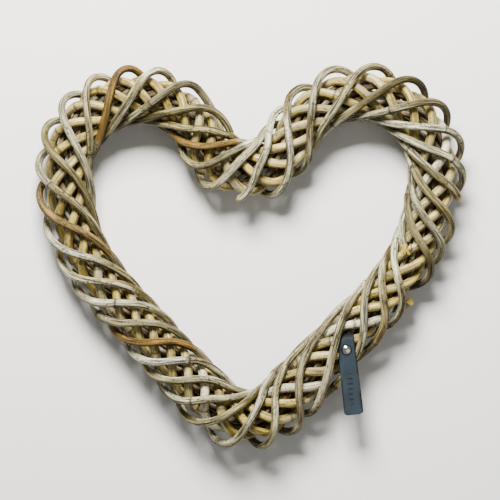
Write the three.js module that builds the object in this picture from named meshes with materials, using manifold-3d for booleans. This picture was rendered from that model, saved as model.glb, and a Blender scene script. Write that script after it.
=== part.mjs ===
import * as THREE from 'three';
import { mergeVertices } from 'three/addons/utils/BufferGeometryUtils.js';
import Module from 'manifold-3d';

const wasm = await Module();
wasm.setup();

// A heart wound from long rattan canes, lying on its back. Millimetres and degrees.
// +X is to the heart's right, +Y towards its lobes, and +Z up, out of its front.

// Canes from the inside out. Core and outer canes wind one way, middle ones the other.
// A layer crosses the front once per cane and turn: these crossings are its wraps.
// It lingers on its way along the inner edge, and crosses the front faster. Where the heart
// bends, taut canes take a shortcut along the short side, and turn sharply on the long one.
// Wraps drift in waves, and crowd together or apart about a place, in shares of the way round.
const CORE = {
	cane: 5.6, canes: 4, turns: 8, hand: - 1, linger: 0, shortcut: 0, cross: 0,
	drift: [], crowd: [], sides: 4, stepsPerTurn: 5, colour: '#7d6751',
};
const MIDDLE = {
	cane: 8.6, canes: 5, turns: 9.4, hand: 1, linger: 0.1, shortcut: 0.7, cross: 0.05,
	start: - 0.295, drift: [ { waves: 2, cos: 0.33, sin: 0.44 } ], crowd: [],
	sides: 5, stepsPerTurn: 7, colour: '#c3b27d',
};
const OUTER = {
	cane: 8, canes: 6, turns: 7, hand: - 1, linger: 0.1, shortcut: 2.2, cross: 0.12,
	start: - 2.53,
	drift: [
		{ waves: 1, cos: 0.05, sin: 0.2 },
		{ waves: 2, cos: 0.18, sin: - 0.08 },
		{ waves: 3, cos: 0.37, sin: 0.07 },
	],
	crowd: [
		{ at: - 0.0252, spread: 0.0318, wraps: 0.76 },
		{ at: 0.4115, spread: 0.0525, wraps: - 0.8 },
	],
	sides: 6, stepsPerTurn: 9.6, colour: '#a89f88',
};
// Room between the core canes, and between one layer and the next.
const CORE_ROOM = 0.95;
const CORE_GAP = 3.2;
const OUTER_GAP = 1.6;
// The whole bundle is fatter than its slimmest place by this, at both lobes and at the tip.
const SWELL = 4.8;
// Outer canes stand off the rest where they turn round the outer edge.
const EDGE_STANDOFF = 3.5;

// Where outer canes are cut, in wraps: some ends follow each other closely behind the
// bundle, and three stop where they show, at the cleft and on the right limb.
const BEHIND = 0.14;
const CUTS = [
	{ cane: 0, at: 27, gap: BEHIND },
	{ cane: 1, at: 7.72, gap: 2.08 },
	{ cane: 2, at: 35, gap: BEHIND },
	{ cane: 3, at: 24, gap: BEHIND },
	{ cane: 4, at: 13, gap: BEHIND },
	{ cane: 5, at: 10.55, gap: 1.85 },
	{ cane: 5, at: 39.2, gap: 1.1 },
];

// Centre line of the bundle: arcs, joined by the straight lines that touch both.
// The flank is the straight line from the bend above the cleft to the lobe.
const RIGHT_LOBE = { flank: 25.4, up: 101, bend: 88, sideFrom: - 5, sideBend: 240 };
const LEFT_LOBE = { flank: 5, up: 101, bend: 85, sideFrom: 3, sideBend: 200 };
const TIP = { x: - 5, y: - 189, bend: 53 };
// The room is what is left open in the bend above the cleft, in outer canes.
const CLEFT = { x: - 5, y: 103, room: 2.9 };
// Canes hang down below the cleft.
const CLEFT_SAG = 13;
const CLEFT_SAG_SPREAD = 42;
// A cane's way is set by how the heart bends over this distance to either side.
const BEND_REACH = 45;
// Enough halvings to find a place along the heart to the last thousandth.
const HALVINGS = 36;

// Leather tag: a strap folded over one middle cane and riveted close below it.
const TAG = {
	wrap: 18, before: 2.2, length: 89, foldWidth: 18, endWidth: 20.5, corner: 4,
	leather: 0.9, slack: 1.6, rise: 0.2, leafGap: 0.3, closing: 70, tilt: 2.2, colour: '#4a5560',
};
const RIVET = {
	cap: 9.8, dome: 1.9, rim: 0.5, shank: 3.2, back: 4.6, backThick: 0.9,
	fit: 0.3, colour: '#c9cbcc',
};

const CORE_RADIUS = CORE.cane / 2 / Math.sin( Math.PI / CORE.canes ) + CORE_ROOM;
const MIDDLE_RADIUS = CORE_RADIUS + CORE.cane / 2 + CORE_GAP + MIDDLE.cane / 2;
const OUTER_RADIUS = MIDDLE_RADIUS + MIDDLE.cane / 2 + OUTER_GAP + OUTER.cane / 2;
const CENTRE_HEIGHT = OUTER_RADIUS + OUTER.cane / 2 + SWELL;
const CLEFT_BEND = OUTER_RADIUS + EDGE_STANDOFF + CLEFT.room * OUTER.cane;

CORE.radius = CORE_RADIUS;
MIDDLE.radius = MIDDLE_RADIUS;
OUTER.radius = OUTER_RADIUS;
for ( const layer of [ CORE, MIDDLE, OUTER ] ) {

	layer.wraps = Math.round( layer.turns * layer.canes );

}

function radians( angle ) {

	return THREE.MathUtils.degToRad( angle );

}

// Arcs of one half, worked out for the right one: the left one is mirrored in X.
function halfArcs( lobe, cleft, tip ) {

	const cleftCentre = new THREE.Vector2( cleft.x, cleft.y + CLEFT_BEND );
	const tipCentre = new THREE.Vector2( tip.x, tip.y + tip.bend );
	const apart = Math.hypot( CLEFT_BEND + lobe.bend, lobe.flank );
	const drop = Math.asin( ( cleftCentre.y - lobe.up ) / apart );
	const lobeCentre = new THREE.Vector2( cleft.x + apart * Math.cos( drop ), lobe.up );
	const flank = - drop - Math.atan( lobe.flank / ( CLEFT_BEND + lobe.bend ) );
	const sideFrom = radians( lobe.sideFrom );
	const sideCentre = new THREE.Vector2( - Math.cos( sideFrom ), - Math.sin( sideFrom ) )
		.multiplyScalar( lobe.sideBend - lobe.bend ).add( lobeCentre );
	const down = tipCentre.clone().sub( sideCentre );
	const limb = down.angle() - 1.5 * Math.PI
		- Math.asin( ( lobe.sideBend - tip.bend ) / down.length() );
	return { lobeCentre, cleftCentre, tipCentre, sideCentre, flank, sideFrom, limb };

}

// Clockwise from the foot of the cleft, through the right lobe, the tip and the left lobe.
function heartPath() {

	const mirrored = ( p ) => ( { ...p, x: - p.x } );
	const other = ( angle ) => Math.PI - angle;
	const right = halfArcs( RIGHT_LOBE, CLEFT, TIP );
	const left = halfArcs( LEFT_LOBE, mirrored( CLEFT ), mirrored( TIP ) );
	const leftSide = mirrored( left.sideCentre );
	const leftLobe = mirrored( left.lobeCentre );
	const line = new THREE.Path();
	const arc = ( c, r, from, to, clockwise ) => line.absarc( c.x, c.y, r, from, to, clockwise );
	arc( right.cleftCentre, CLEFT_BEND, - Math.PI / 2, right.flank, false );
	arc( right.lobeCentre, RIGHT_LOBE.bend, right.flank + Math.PI, right.sideFrom, true );
	arc( right.sideCentre, RIGHT_LOBE.sideBend, right.sideFrom, right.limb, true );
	arc( right.tipCentre, TIP.bend, right.limb, other( left.limb ), true );
	arc( leftSide, LEFT_LOBE.sideBend, other( left.limb ), other( left.sideFrom ), true );
	arc( leftLobe, LEFT_LOBE.bend, other( left.sideFrom ), - left.flank, true );
	arc( right.cleftCentre, CLEFT_BEND, other( left.flank ), 1.5 * Math.PI, false );
	return line;

}

const path = heartPath();
const LOOP = path.getLength();

// A station is a distance along the centre line, and its share is how far round that is.
function share( station ) {

	return THREE.MathUtils.euclideanModulo( station / LOOP, 1 );

}

function distanceAlong( station, from ) {

	return ( share( station - from + LOOP / 2 ) - 0.5 ) * LOOP;

}

function bell( x ) {

	return Math.exp( - x * x / 2 );

}

function layerRadius( layer, station ) {

	return layer.radius + SWELL / 2 * ( 1 - Math.cos( 6 * Math.PI * share( station ) ) );

}

// Number of the wrap that crosses the front at a station.
function wrapAt( layer, station ) {

	let wrap = layer.wraps * station / LOOP + layer.start;
	for ( const drift of layer.drift ) {

		const angle = 2 * Math.PI * drift.waves * station / LOOP;
		wrap += drift.cos * Math.cos( angle ) + drift.sin * Math.sin( angle );

	}

	for ( const crowd of layer.crowd ) {

		const x = distanceAlong( station, crowd.at * LOOP ) / LOOP / crowd.spread;
		wrap += crowd.wraps * x * bell( x );

	}

	return wrap;

}

// Where a rising value reaches a goal, found by halving the reach to either side of a guess.
function whereIt( reaches, goal, guess, reach ) {

	let low = guess - reach;
	let high = guess + reach;
	for ( let i = 0; i < HALVINGS; i ++ ) {

		const halfway = ( low + high ) / 2;
		if ( reaches( halfway ) < goal ) low = halfway;
		else high = halfway;

	}

	return ( low + high ) / 2;

}

// Station where a wrap crosses the front.
function stationOf( layer, wrap ) {

	const even = ( wrap - layer.start ) / layer.wraps * LOOP;
	return whereIt( ( station ) => wrapAt( layer, station ), wrap, even, LOOP / 2 );

}

// How sharply the heart bends about a station, in radians per millimetre.
function bendAt( station ) {

	const before = path.getTangent( share( station - BEND_REACH ) ).angle();
	const after = path.getTangent( share( station + BEND_REACH ) ).angle();
	const turn = THREE.MathUtils.euclideanModulo( before - after + Math.PI, 2 * Math.PI ) - Math.PI;
	return turn / 2 / BEND_REACH;

}

// Angle round the bundle: 0 is its outer edge, 90 degrees its front, 180 its inner edge.
// It is the one whose even angle, which would rise steadily, is right for the station.
function windingAngle( layer, cane, station ) {

	const turn = 2 * Math.PI * ( wrapAt( layer, station ) - cane ) / layer.canes;
	const linger = Math.tanh( layer.linger + layer.shortcut * layer.radius * bendAt( station ) );
	const evenAngle = ( angle ) =>
		angle - linger * ( Math.sin( angle ) - 1 ) + layer.cross * Math.sin( 2 * angle );
	const even = Math.PI / 2 + layer.hand * turn;
	return whereIt( evenAngle, even, even, Math.PI );

}

function canePoint( layer, cane, station ) {

	const u = share( station );
	const centre = path.getPoint( u );
	const forward = path.getTangent( u );
	const angle = windingAngle( layer, cane, station );
	const radius = layerRadius( layer, station );
	const inward = ( 1 - Math.cos( angle ) ) / 2;
	const outward = 1 - inward;
	const sag = CLEFT_SAG * bell( distanceAlong( station, 0 ) / CLEFT_SAG_SPREAD ) * inward * inward;
	const standoff = layer === OUTER ? EDGE_STANDOFF * outward * outward : 0;
	const out = ( radius + sag + standoff ) * Math.cos( angle );
	return new THREE.Vector3(
		centre.x - forward.y * out,
		centre.y + forward.x * out,
		CENTRE_HEIGHT + radius * Math.sin( angle ),
	);

}

class CaneCurve extends THREE.Curve {

	constructor( layer, cane, from, to ) {

		super();
		Object.assign( this, { layer, cane, from, to, arcLengthDivisions: 2000 } );

	}

	getPoint( t ) {

		return canePoint( this.layer, this.cane, THREE.MathUtils.lerp( this.from, this.to, t ) );

	}

}

function caneMesh( name, layer, cane, fromWrap, toWrap ) {

	const curve = new CaneCurve( layer, cane, stationOf( layer, fromWrap ), stationOf( layer, toWrap ) );
	const corners = Array.from( { length: layer.sides }, ( _, i ) => {

		const angle = 2 * Math.PI * i / layer.sides;
		return new THREE.Vector2( Math.cos( angle ), Math.sin( angle ) ).multiplyScalar( layer.cane / 2 );

	} );
	const steps = Math.round( ( toWrap - fromWrap ) / layer.canes * layer.stepsPerTurn );
	const geometry = new THREE.ExtrudeGeometry( new THREE.Shape( corners ), { steps, extrudePath: curve } );
	const material = new THREE.MeshStandardMaterial( { color: layer.colour, roughness: 0.8 } );
	const mesh = new THREE.Mesh( geometry, material );
	mesh.name = name;
	mesh.userData.line = curve.getSpacedPoints( steps );
	return mesh;

}

// Each outer cane runs from one cut to the next one in its own place, round the heart.
function outerCanes() {

	return CUTS.map( ( cut, i ) => {

		const own = CUTS.filter( ( c ) => c.cane === cut.cane );
		const next = own.find( ( c ) => c.at > cut.at ) ?? { at: own[ 0 ].at + OUTER.wraps };
		return caneMesh( `outer_cane_${ i + 1 }`, OUTER, cut.cane, cut.at + cut.gap, next.at );

	} );

}

// Inner canes go once round, and each ends at the start of the cane that it runs into.
function innerCanes( name, layer ) {

	const start = ( cane ) => cane - layer.canes / 2;
	return Array.from( { length: layer.canes }, ( _, cane ) => {

		const next = ( cane + layer.canes - layer.wraps % layer.canes ) % layer.canes;
		const to = start( next ) + layer.wraps - BEHIND;
		return caneMesh( `${ name }_${ cane + 1 }`, layer, cane, start( cane ), to );

	} );

}

function toSolid( geometry ) {

	geometry.deleteAttribute( 'normal' );
	geometry.deleteAttribute( 'uv' );
	const merged = mergeVertices( geometry );
	return new wasm.Manifold( new wasm.Mesh( {
		numProp: 3,
		vertProperties: new Float32Array( merged.attributes.position.array ),
		triVerts: new Uint32Array( merged.index.array ),
	} ) );

}

function toGeometry( solid ) {

	const mesh = solid.getMesh();
	const geometry = new THREE.BufferGeometry();
	geometry.setAttribute( 'position', new THREE.BufferAttribute( mesh.vertProperties, 3 ) );
	geometry.setIndex( new THREE.BufferAttribute( mesh.triVerts, 1 ) );
	return geometry;

}

// Heights in the strap, from the middle of the cane that it is folded over.
const fold = MIDDLE.cane / 2 + TAG.slack;
const foldOutside = fold + TAG.leather;
const leafBack = fold - TAG.leafGap;
const strapBack = leafBack - TAG.leather;

// How far down the tag a fold of this radius reaches a height.
function leafStart( radius, height ) {

	const closing = radians( TAG.closing );
	return radius * Math.sin( closing ) + ( height + radius * Math.cos( closing ) ) / Math.tan( closing );

}

// Strap from its side. X runs down the tag and Y out of its front.
function strapProfile() {

	const closed = 1.5 * Math.PI + radians( TAG.closing );
	const profile = new THREE.Shape();
	profile.moveTo( TAG.length, fold );
	profile.lineTo( TAG.length, foldOutside );
	profile.absarc( 0, 0, foldOutside, Math.PI / 2, closed, false );
	profile.lineTo( leafStart( foldOutside, strapBack ), strapBack );
	profile.lineTo( TAG.length, strapBack );
	profile.lineTo( TAG.length, leafBack );
	profile.lineTo( leafStart( fold, leafBack ), leafBack );
	profile.absarc( 0, 0, fold, closed, Math.PI / 2, true );
	return profile;

}

// Outline of the tag from its front, as a thick plate that the strap is cut to.
function tagOutline() {

	const top = - 2 * foldOutside;
	const thick = 6 * foldOutside;
	const side = TAG.endWidth / 2 - TAG.corner;
	const end = TAG.length - TAG.corner;
	const outline = new THREE.Shape();
	outline.moveTo( top, - TAG.foldWidth / 2 );
	outline.lineTo( 0, - TAG.foldWidth / 2 );
	outline.absarc( end, - side, TAG.corner, - Math.PI / 2, 0, false );
	outline.absarc( end, side, TAG.corner, 0, Math.PI / 2, false );
	outline.lineTo( 0, TAG.foldWidth / 2 );
	outline.lineTo( top, TAG.foldWidth / 2 );
	const plate = new THREE.ExtrudeGeometry( outline, { depth: thick, bevelEnabled: false, curveSegments: 4 } );
	plate.translate( 0, 0, - thick / 2 );
	return plate.rotateX( Math.PI / 2 );

}

function leatherTag( rivetAt ) {

	const strap = new THREE.ExtrudeGeometry( strapProfile(),
		{ depth: TAG.endWidth, bevelEnabled: false, curveSegments: 7 } );
	strap.translate( 0, 0, - TAG.endWidth / 2 );
	const boreRadius = RIVET.shank / 2 + RIVET.fit;
	const bore = new THREE.CylinderGeometry( boreRadius, boreRadius, 4 * foldOutside, 10 );
	bore.translate( rivetAt, 0, 0 );
	const leather = toSolid( strap ).intersect( toSolid( tagOutline() ) ).subtract( toSolid( bore ) );
	const material = new THREE.MeshStandardMaterial( { color: TAG.colour, roughness: 0.7 } );
	const tag = new THREE.Mesh( toGeometry( leather ), material );
	tag.name = 'leather_tag';
	return tag;

}

function tagRivet( rivetAt ) {

	const capFoot = foldOutside + RIVET.fit;
	const backFoot = strapBack - RIVET.fit;
	const profile = [
		[ 0, backFoot - RIVET.backThick ],
		[ RIVET.back / 2, backFoot - RIVET.backThick ],
		[ RIVET.back / 2, backFoot ],
		[ RIVET.shank / 2, backFoot ],
		[ RIVET.shank / 2, capFoot ],
		[ RIVET.cap / 2, capFoot ],
		[ RIVET.cap / 2, capFoot + RIVET.rim ],
		[ RIVET.cap * 0.36, capFoot + RIVET.dome * 0.72 ],
		[ RIVET.cap * 0.19, capFoot + RIVET.dome * 0.94 ],
		[ 0, capFoot + RIVET.dome ],
	].map( ( [ radius, height ] ) => new THREE.Vector2( radius, height ) );
	const material = new THREE.MeshStandardMaterial( { color: RIVET.colour, metalness: 1, roughness: 0.2 } );
	const rivet = new THREE.Mesh( new THREE.LatheGeometry( profile, 10 ), material );
	rivet.name = 'rivet';
	rivet.position.x = rivetAt;
	return rivet;

}

// The straight stretch of a cane's line that is nearest to a point.
function nearestStretch( line, point ) {

	const stretches = line.slice( 1 ).map( ( end, i ) => new THREE.Line3( line[ i ], end ) );
	const middle = new THREE.Vector3();
	const distance = ( stretch ) => stretch.getCenter( middle ).distanceTo( point );
	return stretches.reduce( ( best, next ) => distance( next ) < distance( best ) ? next : best );

}

// The tag lies square to the cane that it hangs from, and slopes a little to the floor.
function tagGroup( cane ) {

	const place = canePoint( MIDDLE, TAG.wrap, stationOf( MIDDLE, TAG.wrap ) - TAG.before );
	const stretch = nearestStretch( cane.userData.line, place );
	const along = stretch.delta( new THREE.Vector3() );
	const down = new THREE.Vector3( - along.y, along.x, 0 ).normalize();
	const up = new THREE.Vector3( 0, 0, 1 );
	const group = new THREE.Group();
	group.applyMatrix4( new THREE.Matrix4().makeBasis( down, up, down.clone().cross( up ) ) );
	stretch.closestPointToPoint( place, true, group.position );
	group.rotateZ( - radians( TAG.tilt ) );
	group.translateY( TAG.rise );
	const rivetAt = leafStart( foldOutside, strapBack ) + RIVET.back / 2 + RIVET.fit;
	group.add( leatherTag( rivetAt ), tagRivet( rivetAt ) );
	return group;

}

// A gap between two core canes faces the tag's fold, which needs the room.
CORE.start = 0.5 - CORE.wraps * stationOf( MIDDLE, TAG.wrap ) / LOOP;

const heart = new THREE.Group();
const middleCanes = innerCanes( 'middle_cane', MIDDLE );
const tag = tagGroup( middleCanes[ TAG.wrap % MIDDLE.canes ] );
heart.add( ...outerCanes(), ...middleCanes, ...innerCanes( 'core_cane', CORE ), tag );

export default heart;
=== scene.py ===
import math
import random

import bmesh
import bpy
from bpy.props import FloatProperty, FloatVectorProperty, IntProperty, PointerProperty
from mathutils import Matrix, Vector, noise


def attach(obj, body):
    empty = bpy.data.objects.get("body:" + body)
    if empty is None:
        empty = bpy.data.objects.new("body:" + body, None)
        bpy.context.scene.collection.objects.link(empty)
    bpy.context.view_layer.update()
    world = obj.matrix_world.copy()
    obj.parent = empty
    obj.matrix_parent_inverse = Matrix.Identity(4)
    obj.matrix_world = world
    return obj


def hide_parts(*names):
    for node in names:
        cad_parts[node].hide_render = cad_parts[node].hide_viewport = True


bl_info = {
    "name": "Rattan heart",
    "version": (1, 0, 0),
    "blender": (4, 5, 0),
    "location": "3D View > Sidebar > Rattan heart",
    "description": "Winds a heart from rattan canes and hangs a folded leather tag on it",
    "category": "Add Mesh",
}

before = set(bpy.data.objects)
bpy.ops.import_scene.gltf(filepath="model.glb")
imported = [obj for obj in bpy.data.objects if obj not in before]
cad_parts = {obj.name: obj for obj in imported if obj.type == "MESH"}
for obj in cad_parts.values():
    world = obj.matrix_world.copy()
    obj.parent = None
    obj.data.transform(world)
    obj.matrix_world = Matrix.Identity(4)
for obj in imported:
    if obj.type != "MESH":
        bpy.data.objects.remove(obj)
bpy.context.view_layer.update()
MM = 0.001
BODY = "root"
QUARTER_TURN = math.pi / 2


# Winding. Each cane follows the rule of its solid, so that it lies where its solid lies.

CORE_CANE = 5.6 * MM
MIDDLE_CANE = 8.6 * MM
OUTER_CANE = 8.0 * MM
CORE_ROOM = 0.95 * MM
CORE_GAP = 3.2 * MM
OUTER_GAP = 1.6 * MM
SWELL = 4.8 * MM
EDGE_STANDOFF = 3.5 * MM
CORE_RADIUS = CORE_CANE / 2 / math.sin(math.pi / 4) + CORE_ROOM
MIDDLE_RADIUS = CORE_RADIUS + CORE_CANE / 2 + CORE_GAP + MIDDLE_CANE / 2
OUTER_RADIUS = MIDDLE_RADIUS + MIDDLE_CANE / 2 + OUTER_GAP + OUTER_CANE / 2
CENTRE_HEIGHT = OUTER_RADIUS + OUTER_CANE / 2 + SWELL


class Layer:
    """One layer of canes: how many there are, which way they wind, and where they crowd."""

    def __init__(self, radius, canes, turns, hand, start=0.0, **rule):
        self.radius = radius
        self.canes = canes
        self.wraps = round(turns * canes)
        self.hand = hand
        self.start = start
        self.linger = rule.get("linger", 0.0)
        self.shortcut = rule.get("shortcut", 0.0)
        self.cross = rule.get("cross", 0.0)
        self.drift = rule.get("drift", ())
        self.crowd = rule.get("crowd", ())
        self.standoff = rule.get("standoff", 0.0)


MIDDLE = Layer(
    MIDDLE_RADIUS, canes=5, turns=9.4, hand=1, start=-0.295,
    linger=0.1, shortcut=0.7, cross=0.05, drift=((2, 0.33, 0.44),))
OUTER = Layer(
    OUTER_RADIUS, canes=6, turns=7, hand=-1, start=-2.53,
    linger=0.1, shortcut=2.2, cross=0.12, standoff=EDGE_STANDOFF,
    drift=((1, 0.05, 0.2), (2, 0.18, -0.08), (3, 0.37, 0.07)),
    crowd=((-0.0252, 0.0318, 0.76), (0.4115, 0.0525, -0.8)))
# The strands inside lie close together, and fill the bundle up to the middle canes.
CORE = Layer(6.9 * MM, canes=6, turns=8, hand=-1)
CORE_SOLIDS = 4

# Each cut in the outer canes: its cane, the wrap where the cane before it ends, and the gap.
BEHIND = 0.14
CUTS = (
    (0, 27, BEHIND), (1, 7.72, 2.08), (2, 35, BEHIND), (3, 24, BEHIND),
    (4, 13, BEHIND), (5, 10.55, 1.85), (5, 39.2, 1.1),
)
FRAYED = (5, 10.55)

# Centre line of the bundle.
RIGHT_LOBE = {"flank": 25.4 * MM, "up": 101 * MM, "bend": 88 * MM, "side_from": -5, "side_bend": 240 * MM}
LEFT_LOBE = {"flank": 5 * MM, "up": 101 * MM, "bend": 85 * MM, "side_from": 3, "side_bend": 200 * MM}
TIP = Vector((-5 * MM, -189 * MM))
TIP_BEND = 53 * MM
CLEFT = Vector((-5 * MM, 103 * MM))
CLEFT_ROOM = 2.9
CLEFT_BEND = OUTER_RADIUS + EDGE_STANDOFF + CLEFT_ROOM * OUTER_CANE
CLEFT_SAG = 13 * MM
CLEFT_SAG_SPREAD = 42 * MM
BEND_REACH = 45 * MM
HALVINGS = 32


def direction(angle):
    return Vector((math.cos(angle), math.sin(angle)))


def half_arcs(lobe, cleft, tip):
    """Arc centres and joining angles of one half, worked out as for the right one."""
    cleft_centre = Vector((cleft.x, cleft.y + CLEFT_BEND))
    tip_centre = Vector((tip.x, tip.y + TIP_BEND))
    apart = math.hypot(CLEFT_BEND + lobe["bend"], lobe["flank"])
    drop = math.asin((cleft_centre.y - lobe["up"]) / apart)
    lobe_centre = Vector((cleft.x + apart * math.cos(drop), lobe["up"]))
    flank = -drop - math.atan(lobe["flank"] / (CLEFT_BEND + lobe["bend"]))
    side_from = math.radians(lobe["side_from"])
    side_centre = lobe_centre - (lobe["side_bend"] - lobe["bend"]) * direction(side_from)
    down = tip_centre - side_centre
    touch = math.asin((lobe["side_bend"] - TIP_BEND) / down.length)
    limb = math.atan2(down.y, down.x) + QUARTER_TURN - touch
    return cleft_centre, lobe_centre, side_centre, tip_centre, flank, side_from, limb


class HeartLine:
    """Closed centre line, clockwise from the foot of the cleft: arcs joined by straight lines."""

    def __init__(self):
        self.parts = []
        self.length = 0.0
        cleft, lobe, side, tip, flank, side_from, limb = half_arcs(RIGHT_LOBE, CLEFT, TIP)
        mirrored = [Vector((-p.x, p.y)) for p in (CLEFT, TIP)]
        _, left_lobe, left_side, _, left_flank, left_from, left_limb = half_arcs(LEFT_LOBE, *mirrored)
        left_lobe.x = -left_lobe.x
        left_side.x = -left_side.x
        self.arc(cleft, CLEFT_BEND, -QUARTER_TURN, flank)
        self.arc(lobe, RIGHT_LOBE["bend"], flank + math.pi, side_from)
        self.arc(side, RIGHT_LOBE["side_bend"], side_from, limb)
        self.arc(tip, TIP_BEND, limb, -math.pi - left_limb)
        self.arc(left_side, LEFT_LOBE["side_bend"], -math.pi - left_limb, -math.pi - left_from)
        self.arc(left_lobe, LEFT_LOBE["bend"], -math.pi - left_from, -math.tau - left_flank)
        self.arc(cleft, CLEFT_BEND, -math.pi - left_flank, -QUARTER_TURN)

    def arc(self, centre, radius, start, end):
        first = centre + radius * direction(start)
        if self.parts:
            last = self.place(self.length)[0]
            gap = (first - last).length
            self.parts.append((self.length, last, None, (first - last).normalized(), 0))
            self.length += gap
        self.parts.append((self.length, centre, radius, start, math.copysign(1, end - start)))
        self.length += radius * abs(end - start)

    def place(self, station):
        """Point and forward direction at a distance along the line."""
        start, centre, radius, angle, way = next(p for p in reversed(self.parts) if p[0] <= station)
        travelled = station - start
        if radius is None:
            return centre + travelled * angle, angle
        outward = direction(angle + way * travelled / radius)
        return centre + radius * outward, way * Vector((-outward.y, outward.x))


LINE = HeartLine()
LOOP = LINE.length


def distance_along(station, start):
    return ((station - start) / LOOP + 0.5) % 1 * LOOP - LOOP / 2


def bell(x):
    return math.exp(-x * x / 2)


def wrap_at(layer, station):
    """Number of the wrap that crosses the front at a station."""
    wrap = layer.wraps * station / LOOP + layer.start
    for waves, cosine, sine in layer.drift:
        angle = math.tau * waves * station / LOOP
        wrap += cosine * math.cos(angle) + sine * math.sin(angle)
    for at, spread, wraps in layer.crowd:
        x = distance_along(station, at * LOOP) / LOOP / spread
        wrap += wraps * x * bell(x)
    return wrap


def where_it(reaches, goal, guess, reach):
    """Where a rising value reaches a goal, found by halving the reach to either side of a guess."""
    low = guess - reach
    high = guess + reach
    for _ in range(HALVINGS):
        halfway = (low + high) / 2
        if reaches(halfway) < goal:
            low = halfway
        else:
            high = halfway
    return (low + high) / 2


def station_of(layer, wrap):
    """Station where a wrap crosses the front."""
    even = (wrap - layer.start) / layer.wraps * LOOP
    return where_it(lambda station: wrap_at(layer, station), wrap, even, LOOP / 2)


def bend_at(station):
    """How sharply the heart bends about a station, in radians per metre."""
    _, before = LINE.place((station - BEND_REACH) % LOOP)
    _, after = LINE.place((station + BEND_REACH) % LOOP)
    return math.atan2(after.x * before.y - after.y * before.x, after.dot(before)) / 2 / BEND_REACH


def cane_point(layer, cane, station):
    """Point on a cane's centre line. Round the bundle, 90 degrees is the front and 0 the outer edge."""
    centre, forward = LINE.place(station % LOOP)
    radius = layer.radius + SWELL / 2 * (1 - math.cos(3 * math.tau * station / LOOP))
    angle = QUARTER_TURN + layer.hand * math.tau * (wrap_at(layer, station) - cane) / layer.canes
    if layer.linger:
        linger = math.tanh(layer.linger + layer.shortcut * layer.radius * bend_at(station))
        angle = where_it(
            lambda a: a - linger * (math.sin(a) - 1) + layer.cross * math.sin(2 * a), angle, angle, math.pi)
    inward = (1 - math.cos(angle)) / 2
    sag = CLEFT_SAG * bell(distance_along(station, 0) / CLEFT_SAG_SPREAD) * inward ** 2
    out = (radius + sag + layer.standoff * (1 - inward) ** 2) * math.cos(angle)
    height = CENTRE_HEIGHT + radius * math.sin(angle)
    return Vector((centre.x - forward.y * out, centre.y + forward.x * out, height))


# Leather tag: a strap folded over one middle cane, and riveted close below it.

TAG_WRAP = 18
TAG_BEFORE = 2.2 * MM
TAG_TILT = math.radians(2.2)
TAG_RISE = 0.2 * MM
TAG_CLOSING = math.radians(70)
FOLD = MIDDLE_CANE / 2 + 1.6 * MM
SOLID_LEATHER = 0.9 * MM
LEAF_GAP = 0.3 * MM
FRONT_LEAF = FOLD + SOLID_LEATHER / 2
BACK_LEAF = FOLD - LEAF_GAP - SOLID_LEATHER / 2
RIVET_BACK = 4.6 * MM
RIVET_FIT = 0.3 * MM
STEPS_PER_TURN = 7
CORE.start = 0.5 - CORE.wraps * station_of(MIDDLE, TAG_WRAP) / LOOP


def leaf_start(radius, height):
    """How far down the tag a fold of this radius reaches a height."""
    return radius * math.sin(TAG_CLOSING) + (height + radius * math.cos(TAG_CLOSING)) / math.tan(TAG_CLOSING)


RIVET_AT = leaf_start(FOLD + SOLID_LEATHER, BACK_LEAF - SOLID_LEATHER / 2) + RIVET_BACK / 2 + RIVET_FIT


# Settings that a user would change.

def linear(value):
    """Linear red, green and blue from an sRGB hex value."""
    parts = [int(value[i:i + 2], 16) / 255 for i in (1, 3, 5)]
    return tuple(p / 12.92 if p <= 0.04045 else ((p + 0.055) / 1.055) ** 2.4 for p in parts)


def colour(name, description, value):
    return FloatVectorProperty(
        name=name, description=description, subtype="COLOR", size=3, min=0, max=1, default=linear(value))


def metres(name, description, value, lowest=0.0):
    return FloatProperty(name=name, description=description, unit="LENGTH", default=value, min=lowest)


class RATTAN_PG_canes(bpy.types.PropertyGroup):
    outer: metres("Outer canes", "Diameter of the canes of the outer layer", 8.9 * MM)
    middle: metres("Middle canes", "Diameter of the canes of the middle layer", 10.1 * MM)
    core: metres("Core strands", "Diameter of the strands inside the bundle", 6.6 * MM)
    ring: metres("Ring spacing", "Distance between the rings of faces along a cane", 1.6 * MM, 0.5 * MM)
    sides: IntProperty(name="Sides", description="Faces round a cane", default=14, min=6, max=32)
    knot_gap: metres("Knot distance", "Usual distance between two knots of a cane", 240 * MM, 50 * MM)
    knot_swell: metres("Knot swelling", "How far a knot stands out of its cane", 0.6 * MM)
    wander: metres("Wander", "How far a cane strays from its even line", 1.3 * MM)
    uneven: FloatProperty(
        name="Unevenness", description="Share by which a cane's thickness varies",
        default=0.07, min=0, max=0.3, subtype="FACTOR")


class RATTAN_PG_bark(bpy.types.PropertyGroup):
    weathered: colour("Weathered bark", "Main colour of the outer canes", "#958d62")
    pale: colour("Pale bark", "Whitish stretches of the canes", "#cac8ae")
    dull: colour("Dull bark", "Darker stretches of the outer canes", "#4a4019")
    tan: colour("Tan bark", "Orange-brown stretches that kept their bark", "#785a22")
    straw: colour("Straw bark", "Main colour of the middle canes", "#ad9947")
    straw_dull: colour("Dull straw", "Darker stretches of the middle canes", "#64541d")
    brown: colour("Brown bark", "Main colour of the core strands", "#68543b")
    brown_dull: colour("Dull brown", "Darker stretches of the core strands", "#2a1f10")
    crack: colour("Cracks", "Splits and specks in the bark", "#120e05")
    pith: colour("Pith", "Inside of a cane, where it is cut or frayed", "#a08a38")


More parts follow.
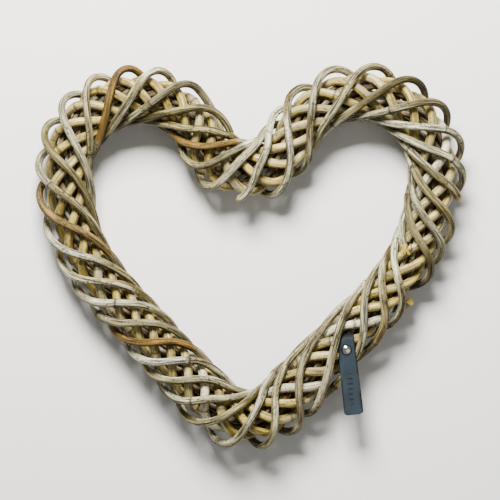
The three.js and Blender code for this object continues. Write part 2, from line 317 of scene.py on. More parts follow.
class RATTAN_PG_tag(bpy.types.PropertyGroup):
    length: metres("Length", "Length of the tag below its cane", 87 * MM)
    fold_width: metres("Width at the fold", "Width of the strap at the fold", 18.8 * MM)
    end_width: metres("Width at the end", "Width of the strap at its end", 21.2 * MM)
    corner: metres("Corner", "Radius of the strap's corners", 4 * MM)
    leather: metres("Leather", "Thickness of the leather", 1.1 * MM)
    leather_colour: colour("Leather", "Colour of the leather", "#1a232a")
    # Used for the cut edges and pressed strokes, and also for painted shade over the fold and for the ring
    # round the rivet's cap, which is partly painted shadow.
    edge_colour: colour("Leather edge", "Colour of the leather where it is creased or cut", "#040506")
    cap: metres("Rivet cap", "Diameter of the rivet's cap", 9.8 * MM)
    metal: colour("Rivet", "Colour of the rivet's metal", "#d3d3d0")


class RATTAN_PG_stage(bpy.types.PropertyGroup):
    floor: colour("Floor", "Colour of the floor", "#cccbc9")
    view: metres("Picture", "Width that the picture takes in", 581.5 * MM)
    camera_height: metres("Camera height", "Height of the camera above the heart", 3.0)


# Materials.

def add(tree, kind, inputs=None, output=0, **settings):
    """Adds a node, sets it, fills or links its inputs, and returns one of its outputs."""
    node = tree.nodes.new("ShaderNode" + kind)
    for key, value in settings.items():
        setattr(node, key, value)
    for key, value in (inputs or {}).items():
        if isinstance(value, bpy.types.NodeSocket):
            tree.links.new(value, node.inputs[key])
        else:
            node.inputs[key].default_value = value
    return node.outputs[output]


def new_material(name):
    """An empty material, with its node tree and its surface shader."""
    made = bpy.data.materials.new(name)
    made.use_nodes = True
    return made, made.node_tree, made.node_tree.nodes["Principled BSDF"]


def rgba(colour_value, factor=1.0):
    """A colour for a socket, made darker or lighter by a factor."""
    return (*[min(1.0, c * factor) for c in colour_value], 1.0)


def bark_material(name, main, dull, grain):
    """Rattan bark: patches of wear, long fibres, splits that gape and dark specks.

    The grain says how strong its pale patches, fibres and relief are, at what noise its splits
    open, and how rough and glossy it is.
    """
    bark = bpy.context.scene.rattan_bark
    made, tree, shader = new_material(name)
    place = add(tree, "Attribute", attribute_name="cane_place", output="Vector")
    tint = add(tree, "Attribute", attribute_name="cane_tint", output="Color")
    cut = add(tree, "Attribute", attribute_name="cane_tint", output="Alpha")
    scar = add(tree, "Attribute", attribute_name="cane_scar", output="Fac")
    tan, whitened, dulled = [
        add(tree, "SeparateColor", {"Color": tint}, output=share) for share in ("Red", "Green", "Blue")]

    def pattern(along, around, low, high, most=1.0, detail=3.0):
        """Noise of this size along and around the cane: 0 below low, and the most above high."""
        rates = (1 / along, 1 / around, 1 / around)
        where = add(tree, "VectorMath", {0: place, 1: rates}, operation="MULTIPLY")
        value = add(tree, "TexNoise", {"Vector": where, "Scale": 1.0, "Detail": detail})
        return add(tree, "MapRange", {"Value": value, "From Min": low, "From Max": high, "To Max": most})

    wear = pattern(45 * MM, 3.5 * MM, 0.42, 0.58)
    patches = pattern(80 * MM, 10 * MM, 0.50, 0.62, grain["pale"], 1.0)
    # Real fibres are finer than the picture shows, so they are drawn three times as coarse.
    fibres = pattern(28 * MM, 1.2 * MM, 0.54, 0.36, grain["fibre"], 4.0)
    split = grain["split"]
    torn = add(tree, "Math", {
        0: pattern(30 * MM, 1.3 * MM, split + 0.04, split, 0.9),
        1: pattern(40 * MM, 8 * MM, 0.38, 0.50, detail=1.0)}, operation="MULTIPLY")
    specks = add(tree, "Math", {
        0: pattern(2.6 * MM, 1.7 * MM, 0.44, 0.38, 0.85, 2.0),
        1: pattern(16 * MM, 7 * MM, 0.38, 0.52, detail=1.0)}, operation="MULTIPLY")
    marks = add(tree, "Math", {0: torn, 1: specks}, operation="MAXIMUM")
    pores = pattern(0.9 * MM, 0.9 * MM, 0.46, 0.38, detail=1.0)

    mix = {"output": 2, "data_type": "RGBA"}
    tanned = add(tree, "Mix", {0: wear, 6: rgba(bark.tan, 0.55), 7: rgba(bark.tan)}, **mix)
    pith = add(tree, "Mix", {0: pores, 6: rgba(bark.pith), 7: rgba(bark.pith, 0.3)}, **mix)
    skin = rgba(dull)
    for share, coat in (
        (wear, rgba(main)),
        (patches, rgba(bark.pale)),
        (whitened, rgba(bark.pale)),
        (tan, tanned),
        (dulled, rgba(dull, 0.6)),
        (fibres, rgba(dull, 0.35)),
        (marks, rgba(bark.crack)),
        (scar, rgba(bark.crack, 2.0)),
        (cut, pith),
    ):
        skin = add(tree, "Mix", {0: share, 6: skin, 7: coat}, **mix)
    tree.links.new(skin, shader.inputs["Base Color"])

    rough = add(tree, "MapRange", {
        "Value": wear, "To Min": grain["rough"] + 0.1, "To Max": grain["rough"] - 0.1})
    tree.links.new(rough, shader.inputs["Roughness"])
    shader.inputs["Specular IOR Level"].default_value = grain["gloss"]
    dents = add(tree, "Math", {0: fibres, 1: marks}, operation="ADD")
    bump = add(tree, "Bump", {"Height": dents, "Strength": grain["bump"], "Distance": 0.4 * MM}, invert=True)
    tree.links.new(bump, shader.inputs["Normal"])
    return made


def weathered_rattan_bark():
    """Whole rattan that stood outdoors: the sun greyed it and it split lengthwise, so it looks dry."""
    bark = bpy.context.scene.rattan_bark
    grain = {"pale": 0.75, "fibre": 0.75, "split": 0.435, "rough": 0.7, "bump": 0.9, "gloss": 0.2}
    return bark_material("weathered_rattan_bark", bark.weathered, bark.dull, grain)


def straw_rattan_bark():
    """Whole rattan that kept its skin: smooth and straw-coloured, with a satin sheen."""
    bark = bpy.context.scene.rattan_bark
    grain = {"pale": 0.2, "fibre": 0.5, "split": 0.36, "rough": 0.48, "bump": 0.5, "gloss": 0.4}
    return bark_material("straw_rattan_bark", bark.straw, bark.straw_dull, grain)


def brown_rattan_bark():
    """Thin rattan inside the bundle: brown, dull and dusty."""
    bark = bpy.context.scene.rattan_bark
    grain = {"pale": 0.25, "fibre": 0.6, "split": 0.4, "rough": 0.75, "bump": 0.7, "gloss": 0.15}
    return bark_material("brown_rattan_bark", bark.brown, bark.brown_dull, grain)


# Row of short strokes pressed into the tag: where it starts and ends, and its pitch and sizes.
STROKES = {"first": 39 * MM, "last": 75 * MM, "pitch": 6.0 * MM, "wide": 1.3 * MM, "tall": 4.6 * MM}


def slate_leather():
    """Tanned leather, dyed slate blue and left matte: fine pores, soft wear, darker cut edges, painted shade
    over the top of the fold, and a dark ring round the rivet's cap that is partly painted shadow.
    """
    tag = bpy.context.scene.rattan_tag
    made, tree, shader = new_material("slate_leather")
    place = add(tree, "Attribute", attribute_name="strap_place", output="Vector")
    edge = add(tree, "Attribute", attribute_name="strap_edge_and_fold_shade", output="Fac")
    along, height, across = [add(tree, "SeparateXYZ", {0: place}, output=axis) for axis in ("X", "Y", "Z")]

    phase = add(tree, "Math", {0: along, 1: STROKES["pitch"]}, operation="MODULO")
    middle = (STROKES["first"] + STROKES["last"]) / 2
    stroke = 1.0
    for value, centre, half in (
        (phase, STROKES["pitch"] / 2, STROKES["wide"] / 2),
        (along, middle, STROKES["last"] - middle),
        (across, 0.0, STROKES["tall"] / 2),
        (height, FRONT_LEAF, 1 * MM),
    ):
        inside = add(tree, "Math", {0: value, 1: centre, 2: half}, operation="COMPARE")
        stroke = add(tree, "Math", {0: stroke, 1: inside}, operation="MULTIPLY")
    # Round the rivet's cap the leather is painted dark: partly leather that the rivet pressed in, partly
    # painted shadow of the cap.
    from_rivet = add(
        tree, "VectorMath", {0: place, 1: (RIVET_AT, FRONT_LEAF, 0)}, output="Value", operation="DISTANCE")
    edge_of_cap = tag.cap / 2
    ring = add(tree, "MapRange", {
        "Value": from_rivet, "From Min": edge_of_cap + 2.2 * MM, "From Max": edge_of_cap + 0.9 * MM})

    cloud = add(tree, "TexNoise", {"Vector": place, "Scale": 1 / (16 * MM), "Detail": 5.0})
    pores = add(tree, "TexVoronoi", {"Vector": place, "Scale": 1 / (0.9 * MM)}, feature="DISTANCE_TO_EDGE")
    shade = add(tree, "MapRange", {"Value": cloud, "From Min": 0.3, "From Max": 0.7})
    skin = rgba(tag.leather_colour, 0.75)
    for share, coat in (
        (shade, rgba(tag.leather_colour, 1.25)),
        (stroke, rgba(tag.edge_colour)),
        # Painted shadow round the rivet's cap, over the leather that it pressed in.
        (ring, rgba(tag.edge_colour)),
        # Cut edges, darker in the leather itself, and painted shade over the top of the fold.
        (edge, rgba(tag.edge_colour)),
    ):
        skin = add(tree, "Mix", {0: share, 6: skin, 7: coat}, output=2, data_type="RGBA")
    tree.links.new(skin, shader.inputs["Base Color"])
    shader.inputs["Roughness"].default_value = 0.7
    shader.inputs["Specular IOR Level"].default_value = 0.14
    grain = add(tree, "MapRange", {"Value": pores, "From Max": 0.12, "To Max": 0.3})
    relief = add(tree, "Math", {0: grain, 1: stroke}, operation="SUBTRACT")
    bump = add(tree, "Bump", {"Height": relief, "Strength": 0.4, "Distance": 0.3 * MM})
    tree.links.new(bump, shader.inputs["Normal"])
    return made


def polished_nickel():
    """Nickel-plated steel: polished until it mirrors the sky, with fine scratches from wear."""
    made, tree, shader = new_material("polished_nickel")
    place = add(tree, "TexCoord", output="Object")
    scratches = add(tree, "TexNoise", {"Vector": place, "Scale": 1 / (1.2 * MM), "Detail": 5.0})
    rough = add(tree, "MapRange", {"Value": scratches, "To Min": 0.06, "To Max": 0.22})
    tree.links.new(rough, shader.inputs["Roughness"])
    shader.inputs["Base Color"].default_value = rgba(bpy.context.scene.rattan_tag.metal)
    shader.inputs["Metallic"].default_value = 1.0
    return made


def matte_paint():
    """Floor paint, rolled on: even and matte."""
    made, _, shader = new_material("matte_paint")
    shader.inputs["Base Color"].default_value = rgba(bpy.context.scene.rattan_stage.floor)
    shader.inputs["Roughness"].default_value = 0.9
    return made


SHARP_FROM = math.radians(50)


def to_object(bm, name, make):
    """Turns a bmesh into an object, smooth but for its sharp edges, in the material that a function makes."""
    mesh = bpy.data.meshes.new(name)
    bm.to_mesh(mesh)
    bm.free()
    if not mesh.polygons:
        raise RuntimeError(f"{name} has no faces")
    mesh.shade_smooth()
    mesh.set_sharp_from_angle(angle=SHARP_FROM)
    mesh.materials.append(bpy.data.materials.get(make.__name__) or make())
    made = bpy.data.objects.new(name, mesh)
    bpy.context.scene.collection.objects.link(made)
    return made


# Canes.

# Stretches of the outer canes that differ from the rest. For a front crossing: where each
# stretch starts and ends, in wraps from the crossing, and how tan, whitish and dull it is.
OUTER_TINTS = {
    33: ((-1.5, 1.5, 1.0, 0, 0),),
    38: ((-1.6, 1.2, 0.95, 0, 0),),
    28: ((-1.4, 1.4, 0.7, 0, 0),),
    1: ((-0.8, 0.9, 0.35, 0, 0.3),),
    23: ((-1.2, 1.6, 0.85, 0.15, 0),),
    22: ((-1.1, -0.38, 0.45, 0, 0), (-0.38, 1.4, 0, 0.8, 0)),
    39: ((-0.6, 1.2, 0, 0.2, 0.7),),
    35: ((-0.5, 1.4, 0, 0.1, 0.6),),
    3: ((-0.6, 1.2, 0, 0, 0.8),),
}
# Knots of the outer canes that show, as cane and wrap.
SEEN_KNOTS = (
    (5, 34.78), (2, 3.21), (4, 3.62), (5, 5.37), (0, 6.39), (2, 20.32), (4, 21.62), (1, 25.11), (5, 29.38),
)
# A stretch fades out over this many wraps at either end.
TINT_FADE = 0.3
# Front crossings of the middle canes that turned grey, how much, and how many wraps it reaches.
GREYED = (10, 17, 21, 26)
GREYED_SHARE = 0.7
GREYED_REACH = 2.5
# First knot of a cane and gaps between its knots, as least and most shares of the usual gap.
FIRST_KNOT = (0.2, 0.8)
KNOT_GAPS = (0.3, 0.7)
# An outer cane is out of sight this many wraps away from where it crosses the front.
HIDDEN_FROM = 1.2
# A cane's noise: how fast it runs per metre, and its planes, apart so that none follows another.
STRAY_RATE = 13
STRAY_PLANES = (0.5, 10.5, 20.5)


class Cane:
    """One cane, from one wrap to another in its layer."""

    def __init__(self, name, layer, cane, start, end):
        self.layer = layer
        self.cane = cane
        self.random = random.Random(name)
        self.seed = self.random.uniform(0, 10)
        self.first = station_of(layer, start)
        self.last = station_of(layer, end)

    def lay(self, parts=None, spacing=None):
        """Works out evenly spaced points along the cane, and the station of each."""
        coarse = 1 + int((self.last - self.first) / MM)
        stations = [self.first + (self.last - self.first) * i / coarse for i in range(coarse + 1)]
        points = [cane_point(self.layer, self.cane, station) for station in stations]
        travelled = [0.0]
        for before, after in zip(points, points[1:]):
            travelled.append(travelled[-1] + (after - before).length)
        self.length = travelled[-1]
        self.parts = parts or round(self.length / spacing)
        self.points = []
        self.stations = []
        j = 0
        for i in range(self.parts + 1):
            want = self.length * i / self.parts
            while j < coarse - 1 and travelled[j + 1] < want:
                j += 1
            share = (want - travelled[j]) / (travelled[j + 1] - travelled[j])
            self.points.append(points[j].lerp(points[j + 1], share))
            self.stations.append(stations[j] + (stations[j + 1] - stations[j]) * share)

    def along(self, i):
        return self.length * i / self.parts

    def stray(self, how_far):
        """Moves the points a little, as no cane is quite even."""
        for i, point in enumerate(self.points):
            place = (self.along(i) * STRAY_RATE, self.seed)
            point += how_far * Vector([noise.noise(Vector((*place, plane))) for plane in STRAY_PLANES])

    def distance_of(self, wrap):
        """How far along the cane a wrap is, or None if the cane isn't there."""
        for lap in (0, self.layer.wraps):
            station = station_of(self.layer, wrap + lap)
            if self.first <= station <= self.last:
                nearest = min(range(self.parts + 1), key=lambda i: abs(self.stations[i] - station))
                return self.along(nearest)
        return None

    def crossing(self, station):
        """Number of the front crossing that the cane is nearest to, and how many wraps it is past it."""
        wrap = wrap_at(self.layer, station)
        number = round((wrap - self.cane) / self.layer.canes) * self.layer.canes + self.cane
        return number % self.layer.wraps, wrap - number

    def knots(self, usual):
        """Distances of the knots along the cane. On an outer cane those that don't show are behind."""
        places = []
        at = self.random.uniform(*FIRST_KNOT) * usual
        while at < self.length:
            _, past = self.crossing(self.stations[round(at / self.length * self.parts)])
            if self.layer is not OUTER or abs(past) > HIDDEN_FROM:
                places.append(at)
            at += usual * self.random.uniform(*KNOT_GAPS)
        if self.layer is OUTER:
            seen = [self.distance_of(wrap) for cane, wrap in SEEN_KNOTS if cane == self.cane]
            places += [here for here in seen if here is not None]
        return sorted(places)

    def tint(self, station):
        """How tan, whitish and dull the cane is at a station, as far as that is known."""
        number, past = self.crossing(station)
        if self.layer is MIDDLE and number in GREYED:
            return 0, GREYED_SHARE * min(1.0, max(0.0, GREYED_REACH - abs(past))), 0
        shares = (0, 0, 0)
        if self.layer is OUTER:
            for start, end, *colours in OUTER_TINTS.get(number, ()):
                fade = min(1.0, max(0.0, 0.5 + min(past - start, end - past) / TINT_FADE))
                shares = tuple(share + fade * c for share, c in zip(shares, colours))
        return shares


# How tan, whitish and dull a stretch between two knots may be, beyond what is known of it.
MOODS = {OUTER: (0.35, 0.4, 0.5), MIDDLE: (0.15, 0.12, 0.3), CORE: (0.2, 0.1, 0.4)}


def frames_along(points):
    """Frames that follow the points without twisting."""
    frames = []
    side = None
    last = len(points) - 1
    for i, point in enumerate(points):
        ahead = (points[min(i + 1, last)] - points[max(i - 1, 0)]).normalized()
        side = (side or ahead.orthogonal()).normalized()
        side = (side - ahead * side.dot(ahead)).normalized()
        placed = Matrix((side, ahead.cross(side), ahead)).transposed().to_4x4()
        placed.translation = point
        frames.append(placed)
    return frames


# A knot swells over this distance to either side, and its scar is this wide.
KNOT_REACH = 2.4 * MM
SCAR_REACH = 0.9 * MM
NO_KNOT = 1.0
# How far a section is from round: its oval, which turns along the cane, and its ribs.
OVAL = 0.06
RIB = 0.06
RIBS_ROUND = 1.6
THICKNESS_RATE = 9
OVAL_RATE = 7
TURN_RATE = 4
RIB_RATE = 25
THICKNESS_PLANE = 3
OVAL_PLANE = 7
TURN_PLANE = 9
# Cut ends: slant and depth of the chips as shares of the radius, and how many rings lost their
# bark, bare at the end and less so from ring to ring.
END_SLANT = (0.1, 0.35)
CHIPS_ROUND = 2.5
CHIP_DEPTH = 0.5
BARE_RINGS = 3
BARE_AT_END = 1.1
BARE_FADE = 0.6
BARE_CHIPS = 1.5
# What the tint of a cane says where it is all pith: tan, whitish, dull and bare.
ALL_PITH = (0, 0, 0, 1)
CUT_RIM = 0.5 * MM
WELD = 0.01 * MM
LOWEST = 0.1 * MM


def build_cane(name, cane, diameter, make, frayed=False):
    """Rolls a grid of faces up round the cane's line, and closes both ends."""
    sizes = bpy.context.scene.rattan_canes
    cane.lay(spacing=sizes.ring)
    cane.stray(sizes.wander if cane.layer is OUTER else sizes.wander / 2)
    knots = cane.knots(sizes.knot_gap)
    moods = [[cane.random.random() for _ in range(3)] for _ in range(len(knots) + 1)]
    frames = frames_along(cane.points)
    oval_turn = cane.random.uniform(0, math.tau)
    slant = cane.random.uniform(*END_SLANT)

    bm = bmesh.new()
    place = bm.verts.layers.float_vector.new("cane_place")
    tint = bm.verts.layers.float_color.new("cane_tint")
    scar = bm.verts.layers.float.new("cane_scar")
    bmesh.ops.create_grid(bm, x_segments=cane.parts, y_segments=sizes.sides, size=0.5)
    rings = [[] for _ in frames]
    for vert in bm.verts:
        rings[round((vert.co.x + 0.5) * cane.parts)].append(vert)

    for i, (ring, placed) in enumerate(zip(rings, frames)):
        along = cane.along(i)
        nearest = min((abs(along - at) for at in knots), default=NO_KNOT)
        thick = 1 + sizes.uneven * noise.noise(Vector((along * THICKNESS_RATE, cane.seed, THICKNESS_PLANE)))
        oval = OVAL * noise.noise(Vector((along * OVAL_RATE, cane.seed, OVAL_PLANE)))
        turn = oval_turn + 2 * noise.noise(Vector((along * TURN_RATE, cane.seed, TURN_PLANE)))
        radius = diameter / 2 * thick + sizes.knot_swell * bell(nearest / KNOT_REACH)
        mood = moods[sum(along > at for at in knots)]
        known = cane.tint(cane.stations[i])
        shares = [share + most * m ** 2 for share, most, m in zip(known, MOODS[cane.layer], mood)]
        from_end = min(i, cane.parts - i)
        for vert in ring:
            angle = math.tau * (vert.co.y + 0.5)
            across = Vector((math.cos(angle), math.sin(angle), 0))
            ribs = (across.x * RIBS_ROUND, across.y * RIBS_ROUND, along * RIB_RATE + cane.seed)
            reach = radius * (1 + oval * math.cos(2 * (angle - turn)) + RIB * noise.noise(Vector(ribs)))
            chips = (across.x * CHIPS_ROUND, across.y * CHIPS_ROUND, cane.seed + i)
            chipped = noise.noise(Vector(chips))
            ahead = radius * (slant * across.x + CHIP_DEPTH * chipped) if from_end == 0 else 0
            vert.co = placed @ (across * reach + Vector((0, 0, ahead)))
            vert.co.z = max(vert.co.z, LOWEST)
            vert[place] = (along + cane.seed, across.x * radius, across.y * radius)
            bare = max(0.0, min(1.0, BARE_AT_END - BARE_FADE * from_end + BARE_CHIPS * chipped))
            if from_end >= BARE_RINGS:
                bare = 0
            vert[tint] = [min(1.0, s) for s in (*shares, bare)]
            vert[scar] = bell(nearest / SCAR_REACH)
    bmesh.ops.remove_doubles(bm, verts=bm.verts, dist=WELD)
    rims = [edge for edge in bm.edges if edge.is_boundary]
    for face in bmesh.ops.holes_fill(bm, edges=rims, sides=0)["faces"]:
        bmesh.ops.inset_individual(bm, faces=[face], thickness=CUT_RIM)
        for vert in face.verts:
            vert[tint] = ALL_PITH
    if frayed:
        for vert in fray(bm, frames[-1], diameter, cane.random):
            vert[tint] = ALL_PITH
            vert[place] = vert.co
    bmesh.ops.recalc_face_normals(bm, faces=bm.faces)
    return to_object(bm, name, make)


# Splinters of a frayed end: how many, the angle from one to the next, how far out they stand as
# a share of the diameter, how they lean, and their lengths and thicknesses in millimetres.
SPLINTERS = 14
SPLINTER_TURN = 2.4
SPLINTER_OUT = (0.24, 0.4)
SPLINTER_LEAN = (-0.1, 0.22)
SPLINTER_LENGTH = (5, 12)
SPLINTER_ROOT = (1.0, 1.8)
SPLINTER_TIP = 0.4 * MM
SPLINTER_SUNK = 0.5 * MM
# The splinter that curled back: where its root is, its bend and its thickness.
CURL_OUT = 0.3
CURL_BEND = 2.9 * MM
CURL_TURN = math.radians(230)
CURL_THICKNESS = 0.9 * MM


def fray(bm, end, diameter, dice):
    """Splinters of pith that stand out of a broken end, and one that curled back beside them."""
    made = []
    for k in range(SPLINTERS):
        angle = SPLINTER_TURN * k
        out = diameter * dice.uniform(*SPLINTER_OUT)
        long = dice.uniform(*SPLINTER_LENGTH) * MM
        round_axis = Vector((-math.sin(angle), math.cos(angle), 0))
        lean = Matrix.Rotation(dice.uniform(*SPLINTER_LEAN), 4, round_axis)
        foot = Matrix.Translation(Vector((out * math.cos(angle), out * math.sin(angle), -SPLINTER_SUNK)))
        made += bmesh.ops.create_cone(
            bm, cap_ends=True, segments=6, depth=long,
            radius1=dice.uniform(*SPLINTER_ROOT) * MM, radius2=SPLINTER_TIP,
            matrix=end @ foot @ lean @ Matrix.Translation(Vector((0, 0, long / 2))))["verts"]
    up = Vector((0, 0, 1))
    beside = up.cross(end.to_3x3() @ up).normalized()
    foot = Matrix.Translation(beside * diameter * CURL_OUT)
    ring = bmesh.ops.create_circle(bm, segments=6, radius=CURL_THICKNESS, matrix=foot @ end)["verts"]
    first = [edge for edge in bm.edges if edge.is_wire]
    before = set(bm.verts)
    centre = end.translation + beside * (diameter * CURL_OUT + CURL_BEND)
    bmesh.ops.spin(
        bm, geom=ring + first, cent=centre, axis=up, dvec=(0, 0, 0), angle=CURL_TURN, steps=12,
        use_merge=False, use_duplicate=False)
    curled = ring + [vert for vert in bm.verts if vert not in before]
    bmesh.ops.holes_fill(bm, edges=[edge for edge in bm.edges if edge.is_boundary], sides=0)
    return made + curled


def add_canes(name, layer, ranges, diameter, make, solids):
    """Builds the canes of a layer: each stands for the solid of its number, as far as there are solids."""
    for i, (cane, start, end) in enumerate(ranges):
        node = f"{name}_{i + 1}"
        frayed = layer is OUTER and cane == FRAYED[0] and abs(end - OUTER.wraps - FRAYED[1]) < BEHIND
        made = build_cane(node + "_bark", Cane(node, layer, cane, start, end), diameter, make, frayed)
        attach(made, BODY)
        if i < solids:
            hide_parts(node)


def outer_ranges():
    """Each outer cane's own place among the six, and the wraps it starts and ends at."""
    ranges = []
    for cane, at, gap in CUTS:
        own = [c[1] for c in CUTS if c[0] == cane]
        later = [a for a in own if a > at]
        ranges.append((cane, at + gap, later[0] if later else own[0] + OUTER.wraps))
    return ranges


def once_round(layer):
    """Inner canes go once round, and each ends where the cane that it runs into starts."""
    half = layer.canes / 2
    ranges = []
    for cane in range(layer.canes):
        following = (cane - layer.wraps) % layer.canes
        ranges.append((cane, cane - half, following - half + layer.wraps - BEHIND))
    return ranges


class RATTAN_OT_outer_canes(bpy.types.Operator):
    """Winds the weathered outer canes"""
    bl_idname = "rattan.outer_canes"
    bl_label = "Outer canes"

    def execute(self, context):
        sizes = context.scene.rattan_canes
        add_canes("outer_cane", OUTER, outer_ranges(), sizes.outer, weathered_rattan_bark, len(CUTS))
        return {"FINISHED"}


class RATTAN_OT_middle_canes(bpy.types.Operator):
    """Winds the straw-coloured middle canes"""
    bl_idname = "rattan.middle_canes"
    bl_label = "Middle canes"

    def execute(self, context):
        sizes = context.scene.rattan_canes
        add_canes("middle_cane", MIDDLE, once_round(MIDDLE), sizes.middle, straw_rattan_bark, MIDDLE.canes)
        return {"FINISHED"}


class RATTAN_OT_core_canes(bpy.types.Operator):
    """Winds the brown strands inside the bundle"""
    bl_idname = "rattan.core_canes"
    bl_label = "Core strands"

    def execute(self, context):
        sizes = context.scene.rattan_canes
        add_canes("core_cane", CORE, once_round(CORE), sizes.core, brown_rattan_bark, CORE_SOLIDS)
        return {"FINISHED"}


# Leather tag and its rivet.

def tag_frame():
    """The tag's own frame: X down the tag, Y out of its front, in the middle of its cane."""
    cane, start, end = once_round(MIDDLE)[TAG_WRAP % MIDDLE.canes]
    laid = Cane("tag", MIDDLE, cane, start, end)
    laid.lay(parts=round((end - start) / MIDDLE.canes * STEPS_PER_TURN))
    place = cane_point(MIDDLE, TAG_WRAP, station_of(MIDDLE, TAG_WRAP) - TAG_BEFORE)
    stretches = zip(laid.points, laid.points[1:])
    first, last = min(stretches, key=lambda ends: ((ends[0] + ends[1]) / 2 - place).length)
    along = last - first
    down = Vector((-along.y, along.x, 0)).normalized()
    up = Vector((0, 0, 1))
    placed = Matrix((down, up, down.cross(up))).transposed().to_4x4()
    placed.translation = first + along * ((place - first).dot(along) / along.length_squared)
    return placed @ Matrix.Rotation(-TAG_TILT, 4, "Z") @ Matrix.Translation((0, TAG_RISE, 0))


def strap_line(tag):
    """Outside of the strap seen from its side: up the front leaf, round the fold, down the back leaf."""
    step = 1.5 * MM
    easing = 1.5 * MM
    closing = round(math.degrees(TAG_CLOSING))
    outside = FRONT_LEAF + tag.leather / 2
    back = BACK_LEAF - tag.leather / 2
    flat = tag.length - tag.corner
    end = [tag.length - tag.corner * (1 - math.sin(math.radians(a))) for a in range(90, -1, -9)]
    front = end + [flat - step * i for i in range(1, int(flat / step))]
    fold = [outside * direction(math.radians(a)) for a in range(90, 271 + closing, 5)]
    eased_from = leaf_start(outside, back) + easing * math.tan(TAG_CLOSING / 2)
    centre = Vector((eased_from, back - easing))
    eased = [centre + easing * direction(math.radians(a)) for a in range(90 + closing, 89, -10)]
    under = [eased_from + step * i for i in range(1, int((flat - eased_from) / step))] + end[::-1]
    return [Vector((x, outside)) for x in front] + fold + eased + [Vector((x, back)) for x in under]


class RATTAN_OT_leather_tag(bpy.types.Operator):
    """Folds the leather strap over its cane"""
    bl_idname = "rattan.leather_tag"
    bl_label = "Leather tag"

    def execute(self, context):
        tag = context.scene.rattan_tag
        line = strap_line(tag)
        flat = tag.length - tag.corner
        beside = 0.8 * MM
        worn_edge = 0.9 * MM
        # Where the painted shade over the fold starts, above the leaves, and the distance over which it fades
        # in.
        fold_shade_from = 1.8 * MM
        fold_shade_fade = 1.5 * MM
        buckled = 0.15 * MM

        bm = bmesh.new()
        place = bm.verts.layers.float_vector.new("strap_place")
        edge = bm.verts.layers.float.new("strap_edge_and_fold_shade")
        bmesh.ops.create_grid(bm, x_segments=len(line) - 1, y_segments=24, size=0.5)
        for vert in bm.verts:
            number = round((vert.co.x + 0.5) * (len(line) - 1))
            point = line[number]
            taper = min(1.0, max(0.0, point.x / flat))
            half = tag.fold_width / 2 * (1 - taper) + tag.end_width / 2 * taper
            if point.x > flat:
                rounded = math.sqrt(max(0, tag.corner ** 2 - (point.x - flat) ** 2))
                half = tag.end_width / 2 - tag.corner + rounded
            width = 2 * half * vert.co.y
            border = min(half - abs(width), tag.length - point.x)
            # Over the top of the fold the leather is darkened too: painted shade on the bent leather. It is
            # carried with the darker cut edges.
            shaded = min(1.0, (-point.x - fold_shade_from) / fold_shade_fade)
            vert[edge] = max(0.0, 1 - border / worn_edge, shaded)
            vert[place] = (point.x, point.y, width)
            buckle = buckled * noise.noise(Vector((point.x * 60, point.y * 90, width * 90)))
            shift = beside * taper if number > len(line) / 2 else 0
            vert.co = Vector((point.x, point.y + buckle, width - shift))
        bmesh.ops.solidify(bm, geom=bm.faces[:], thickness=tag.leather)
        rims = [e for e in bm.edges if len(e.link_faces) == 2 and e.calc_face_angle() > math.radians(60)]
        bmesh.ops.bevel(
            bm, geom=rims, offset=0.25 * MM, affect="EDGES", segments=2, profile=0.5, material=-1)
        bmesh.ops.recalc_face_normals(bm, faces=bm.faces)
        bmesh.ops.transform(bm, verts=bm.verts, matrix=tag_frame())
        made = to_object(bm, "leather_tag_strap", slate_leather)
        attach(made, BODY)
        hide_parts("leather_tag")
        return {"FINISHED"}


class RATTAN_OT_rivet(bpy.types.Operator):
    """Sets the rivet through both leaves of the strap"""
    bl_idname = "rattan.rivet"
    bl_label = "Rivet"

    def execute(self, context):
        tag = context.scene.rattan_tag
        cap = tag.cap / 2
        foot = FRONT_LEAF + tag.leather / 2
        head = BACK_LEAF - tag.leather / 2
        rim = 0.7 * MM
        bulge = 0.1 * MM
        dome = 1.5 * MM
        shank = 1.6 * MM
        plate = RIVET_BACK / 2
        plate_depth = 0.8 * MM
        eased = 0.2 * MM
        ball = (cap ** 2 + dome ** 2) / 2 / dome
        spread = math.asin(cap / ball)
        crown = [
            (ball * math.sin(spread * share), foot + rim + dome - ball * (1 - math.cos(spread * share)))
            for share in (0, 0.12, 0.25, 0.4, 0.55, 0.7, 0.82, 0.92, 0.98)
        ]
        lip = [
            (cap + bulge * math.sin(math.radians(a)), foot + rim / 2 + rim / 2 * math.cos(math.radians(a)))
            for a in range(20, 181, 20)
        ]
        back = [
            (shank, foot), (shank, head), (plate - eased, head), (plate, head - eased),
            (plate - eased, head - plate_depth + eased / 2), (0, head - plate_depth),
        ]

        bm = bmesh.new()
        corners = [bm.verts.new((radius, height, 0)) for radius, height in crown + lip + back]
        edges = [bm.edges.new(pair) for pair in zip(corners, corners[1:])]
        bmesh.ops.spin(
            bm, geom=corners + edges, cent=(0, 0, 0), axis=(0, 1, 0), dvec=(0, 0, 0), angle=math.tau,
            steps=48, use_merge=True, use_duplicate=False)
        bmesh.ops.remove_doubles(bm, verts=bm.verts, dist=WELD / 2)
        bmesh.ops.recalc_face_normals(bm, faces=bm.faces)
        bmesh.ops.transform(bm, verts=bm.verts, matrix=tag_frame() @ Matrix.Translation((RIVET_AT, 0, 0)))
        made = to_object(bm, "rivet_polished", polished_nickel)
        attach(made, BODY)
        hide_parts("rivet")
        return {"FINISHED"}


# Stage: a floor, soft light from above, and a camera that looks straight down.

FLOOR_SIZE = 6.0
# Each light's name, place, size in metres and power in watts.
LIGHTS = (
    ("sky_light", (-0.25, 1.25, 1.35), 0.7, 225.0),
    ("fill_light", (0.9, -0.7, 1.6), 1.6, 6.0),
)
LIGHT_COLOUR = (1.0, 0.98, 0.93)
SKY_COLOUR = (1.0, 0.99, 0.97, 1)
SKY_STRENGTH = 0.26
PICTURE_MIDDLE = (-1.7 * MM, 7.0 * MM)


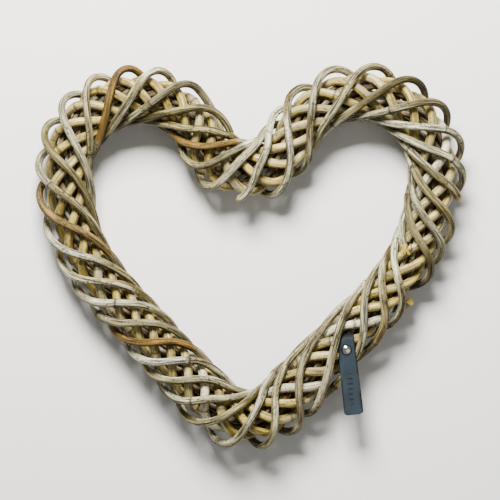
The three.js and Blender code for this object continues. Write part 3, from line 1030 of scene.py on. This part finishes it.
class RATTAN_OT_stage(bpy.types.Operator):
    """Lays the floor and sets the lights and the camera"""
    bl_idname = "rattan.stage"
    bl_label = "Stage"

    def execute(self, context):
        settings = context.scene.rattan_stage
        bm = bmesh.new()
        bmesh.ops.create_grid(bm, x_segments=1, y_segments=1, size=FLOOR_SIZE)
        to_object(bm, "floor", matte_paint)

        for name, place, size, power in LIGHTS:
            lamp = bpy.data.lights.new(name, "AREA")
            lamp.size = size
            lamp.energy = power
            lamp.color = LIGHT_COLOUR
            light = bpy.data.objects.new(name, lamp)
            light.location = place
            light.rotation_euler = (-Vector(place)).to_track_quat("-Z", "Y").to_euler()
            context.scene.collection.objects.link(light)
        world = bpy.data.worlds.new("soft_sky")
        world.use_nodes = True
        sky = world.node_tree.nodes["Background"]
        sky.inputs["Color"].default_value = SKY_COLOUR
        sky.inputs["Strength"].default_value = SKY_STRENGTH
        context.scene.world = world

        lens = bpy.data.cameras.new("camera")
        camera = bpy.data.objects.new("camera", lens)
        context.scene.collection.objects.link(camera)
        camera.location = (*PICTURE_MIDDLE, CENTRE_HEIGHT + settings.camera_height)
        lens.lens = lens.sensor_width * settings.camera_height / settings.view
        context.scene.camera = camera
        return {"FINISHED"}


class RATTAN_PT_panel(bpy.types.Panel):
    """Sizes and colours of the heart, and a button for each part of it"""
    bl_label = "Rattan heart"
    bl_idname = "RATTAN_PT_panel"
    bl_space_type = "VIEW_3D"
    bl_region_type = "UI"
    bl_category = "Rattan heart"

    def draw(self, context):
        for group, _ in GROUPS:
            settings = getattr(context.scene, group)
            box = self.layout.box()
            for key in settings.bl_rna.properties.keys():
                if key not in {"rna_type", "name"}:
                    box.prop(settings, key)
        for operator in OPERATORS:
            self.layout.operator(operator.bl_idname)


GROUPS = (
    ("rattan_canes", RATTAN_PG_canes),
    ("rattan_bark", RATTAN_PG_bark),
    ("rattan_tag", RATTAN_PG_tag),
    ("rattan_stage", RATTAN_PG_stage),
)
OPERATORS = (
    RATTAN_OT_outer_canes,
    RATTAN_OT_middle_canes,
    RATTAN_OT_core_canes,
    RATTAN_OT_leather_tag,
    RATTAN_OT_rivet,
    RATTAN_OT_stage,
)


def register():
    for name, group in GROUPS:
        bpy.utils.register_class(group)
        setattr(bpy.types.Scene, name, PointerProperty(type=group))
    for operator in OPERATORS:
        bpy.utils.register_class(operator)
    bpy.utils.register_class(RATTAN_PT_panel)


def unregister():
    bpy.utils.unregister_class(RATTAN_PT_panel)
    for operator in reversed(OPERATORS):
        bpy.utils.unregister_class(operator)
    for name, group in reversed(GROUPS):
        delattr(bpy.types.Scene, name)
        bpy.utils.unregister_class(group)


def main():
    register()
    bpy.ops.rattan.outer_canes()
    bpy.ops.rattan.middle_canes()
    bpy.ops.rattan.core_canes()
    bpy.ops.rattan.leather_tag()
    bpy.ops.rattan.rivet()
    bpy.ops.rattan.stage()
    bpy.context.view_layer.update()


if __name__ == "__main__":
    main()
